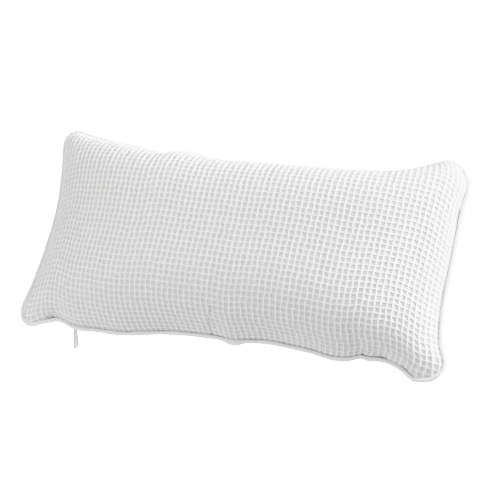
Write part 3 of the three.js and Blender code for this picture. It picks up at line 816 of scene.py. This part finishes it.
def zip_tape(name, x, behind, above, node):
    rib = RIB_HEIGHT * np.cos(behind / RIB_WIDTH * 2 * math.pi) * np.cos(x / RIB_LENGTH * 2 * math.pi)
    under = from_zip(x, behind, above - TAPE_THICKNESS / 2 + rib)
    over = from_zip(x, behind, above + TAPE_THICKNESS / 2 + rib)
    index = np.arange(x.size).reshape(x.shape)
    faces = faces_between(index)
    rim = np.concatenate([index[0, :-1], index[:-1, -1], index[-1, :0:-1], index[:0:-1, 0]])
    band = np.stack([rim, np.roll(rim, -1), np.roll(rim, -1) + x.size, rim + x.size], axis=-1)
    points = np.concatenate([under.reshape(-1, 3), over.reshape(-1, 3)])
    obj = new_mesh(name, to_world(points), np.concatenate([faces[:, ::-1], faces + x.size, band]))
    dress(obj, TAPE_CLOTH)
    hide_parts(node)
    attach(obj, "pillow")


tape_x, tape_share = np.meshgrid(
    np.linspace(-TAPE_LENGTH / 2, TAPE_LENGTH / 2, TAPE_STEPS[0] + 1),
    np.linspace(0, 1, TAPE_STEPS[1] + 1),
)
# Past the bottom stop the two tapes are drawn together
tape_edge = TAPE_EDGE * (1 - ease(np.clip((tape_x - CHAIN_END) / TAPE_BACK, 0, 1)))
# The back tape turns down to the cloth that it is sewn to
tape_behind = tape_edge + (TAPE_BACK - tape_edge) * tape_share
seam_line = lip_path(TAPE_BACK - PANEL_LIP)
seam_above = np.interp(tape_x, seam_line[:, 0], to_zip(seam_line)[1]) + TAPE_THICKNESS
back_turn = ease(np.clip((tape_behind - PANEL_LIP) / (TAPE_BACK - PANEL_LIP), 0, 1))
zip_tape("zip_tape_by_back", tape_x, tape_behind, seam_above * back_turn, "zip_tape_back")
# The front tape turns down to the piping, wherever the puckered seam takes it
edge_u = np.linspace(-EDGE_REACH, EDGE_REACH, EDGE_STEPS)
edge_x, edge_z = seam_point(edge_u, 0 * edge_u - 1, PIPING, FRONT_REACH)
sewn = stacked(tape_x, 0 * tape_x + RIM, np.interp(tape_x, edge_x, edge_z))
sewn_behind, sewn_above = to_zip(sewn)
front_turn = ease(np.clip((tape_share - FRONT_TURN) / (1 - FRONT_TURN), 0, 1))
zip_tape(
    "zip_tape_by_piping",
    tape_x,
    -tape_edge + (sewn_behind + tape_edge) * tape_share,
    sewn_above * front_turn,
    "zip_tape_front",
)

# Hem round the opening, and its row of stitches, each arching out of the cloth
HEM_RADIUS = 0.0011
HEM_SIDES = 10
STITCH_INSET = 0.003
STITCH_PITCH = 0.0032
STITCH_LENGTH = 0.0023
STITCH_RADIUS = 0.00032
STITCH_SIDES = 6
STITCH_ARCH = np.array([-1, 0.3, 0.6, 0.3, -1])


def stitch_row(name, path):
    """Short threads along a path, each sunk into the cloth at both its ends."""
    rings = len(STITCH_ARCH)
    starts = np.arange(0, travel(path)[-1] - STITCH_LENGTH, STITCH_PITCH)
    centres = points_along(path, starts[:, None] + STITCH_LENGTH * np.linspace(0, 1, rings))
    angle = ring_angles(STITCH_SIDES)[:, None]
    ring = STITCH_RADIUS * (np.cos(angle) * ZIP_BELOW + np.sin(angle) * ZIP_BEHIND)
    lift = STITCH_RADIUS * STITCH_ARCH
    points = (centres + lift[:, None] * ZIP_BELOW)[:, :, None] + ring
    faces = []
    for number in range(len(starts)):
        first = number * rings * STITCH_SIDES
        faces += [[corner + first for corner in face] for face in ring_faces(rings, STITCH_SIDES, False)]
    return new_mesh(name, to_world(points.reshape(-1, 3)), faces)


stitches = stitch_row("hem_stitches", lip_path(STITCH_INSET))
dress(stitches, THREAD)
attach(stitches, "pillow")
hem_path = np.concatenate([end_path(-OPENING / 2)[::-1], lip_path(0), end_path(OPENING / 2)])
hem = tube("opening_hem", hem_path, ZIP_BELOW, HEM_RADIUS, HEM_SIDES, False)
dress(hem, PIPING_CLOTH)
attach(hem, "pillow")

# Materials of the solids that show as they are
for name, node in nodes.items():
    if name.startswith("suction_cup"):
        dress(node, VINYL)
    elif name.startswith("eyelet"):
        dress(node, NICKEL)
    elif name.startswith("zip_teeth"):
        dress(node, PLASTIC)
    elif name.startswith("zip_") and not name.startswith("zip_tape"):
        dress(node, ENAMEL)

# Floor, and white all round, both seen only by the camera
FLOOR = -1.2
FLOOR_HALF = 6
BACKDROP_RADIUS = 20
STAGE_GLOW = 3.2
floor_corners = [(x * FLOOR_HALF, y * FLOOR_HALF, FLOOR) for x, y in ((-1, -1), (1, -1), (1, 1), (-1, 1))]
floor = new_mesh("floor", floor_corners, [(0, 1, 2, 3)])
backdrop_mesh = bmesh.new()
bmesh.ops.create_uvsphere(backdrop_mesh, u_segments=32, v_segments=16, radius=BACKDROP_RADIUS)
backdrop = new_mesh("backdrop", [], [])
backdrop_mesh.to_mesh(backdrop.data)
backdrop_mesh.free()
floor_white, _, floor_shader = material("floor_white", (0.95, 0.95, 0.95), roughness=0.9)
floor_shader.inputs["Emission Color"].default_value = (1, 1, 1, 1)
floor_shader.inputs["Emission Strength"].default_value = STAGE_GLOW
for stage_piece in (floor, backdrop):
    dress(stage_piece, floor_white)
    stage_piece.visible_diffuse = False
    stage_piece.visible_glossy = False
    stage_piece.visible_transmission = False
    stage_piece.visible_shadow = False

# Camera: the photograph looks from the right and a little above
AZIMUTH = math.radians(19.5)
ELEVATION = math.radians(18.9)
DISTANCE = 1.204
SHIFT_RIGHT = 0.00995
SHIFT_DOWN = 0.00344
LENS_MM = 93.6
SENSOR_MM = 36
towards = Vector(
    (
        math.sin(AZIMUTH) * math.cos(ELEVATION),
        -math.cos(AZIMUTH) * math.cos(ELEVATION),
        math.sin(ELEVATION),
    )
)
right = Vector((math.cos(AZIMUTH), math.sin(AZIMUTH), 0))
above_view = towards.cross(right)
seam_centre = Vector(to_world(np.zeros(3)).tolist())
camera_data = bpy.data.cameras.new("camera")
camera_data.lens = LENS_MM
camera_data.sensor_width = SENSOR_MM
camera = bpy.data.objects.new("camera", camera_data)
bpy.context.scene.collection.objects.link(camera)
camera.location = seam_centre + towards * DISTANCE + right * SHIFT_RIGHT - above_view * SHIFT_DOWN
camera.rotation_euler = towards.to_track_quat("Z", "Y").to_euler()
bpy.context.scene.camera = camera


# Light: large soft sources up on the right and behind it, two weak ones in front, one below the back
def area_light(name, place, size, power):
    data = bpy.data.lights.new(name, "AREA")
    data.shape = "DISK"
    data.size = size
    data.energy = power
    lamp = bpy.data.objects.new(name, data)
    bpy.context.scene.collection.objects.link(lamp)
    lamp.location = seam_centre + Vector(place)
    lamp.rotation_euler = Vector(place).to_track_quat("Z", "Y").to_euler()


area_light("key", (1.0, 0.1, 1.4), size=1.4, power=21)
area_light("side", (1.4, 0.55, 0.45), size=1.0, power=32)
area_light("front_fill", (-1.0, -0.9, 0.5), size=0.9, power=4.4)
area_light("low_fill", (-0.4, -1.0, -0.9), size=0.9, power=4.4)
area_light("back_fill", (0, 1.0, -0.9), size=0.9, power=8)

# White room that turns darker behind the pillow
ROOM_IN_FRONT = 0.54
ROOM_BEHIND = 0.08
ROOM_TURN = (-0.1, 0.5)
world = bpy.data.worlds.new("room")
world.use_nodes = True
room = world.node_tree
walls = room.nodes["Background"]
walls.inputs["Color"].default_value = (1, 1, 1, 1)
parts = add(room, "ShaderNodeSeparateXYZ")
room.links.new(add(room, "ShaderNodeTexCoord").outputs["Generated"], parts.inputs["Vector"])
room_light = drawn_onto(room, parts.outputs["Y"], ROOM_TURN, (ROOM_IN_FRONT, ROOM_BEHIND))
room.links.new(room_light, walls.inputs["Strength"])
bpy.context.scene.world = world

# Tones: even up to the shoulder, then drawn together below a ceiling; only what glows is full white
SHOULDER = 0.7
CEILING = 0.965
FULL_WHITE = 3.0
TONE_STEPS = (SHOULDER, 0.85, 1.0, 1.25, 1.6, 2.0, 2.6)
view = bpy.context.scene.view_settings
view.view_transform = "Standard"
view.use_curve_mapping = True
view.curve_mapping.white_level = (FULL_WHITE, FULL_WHITE, FULL_WHITE)
# The fourth curve is the one for all three colours together
tones = view.curve_mapping.curves[3].points
tones[0].location = (0, 0)
tones[1].location = (1, 1)
for light in TONE_STEPS:
    drawn = 1 - math.exp(-(light - SHOULDER) / (CEILING - SHOULDER))
    tones.new(light / FULL_WHITE, SHOULDER + (CEILING - SHOULDER) * drawn)
view.curve_mapping.update()

bpy.context.view_layer.update()
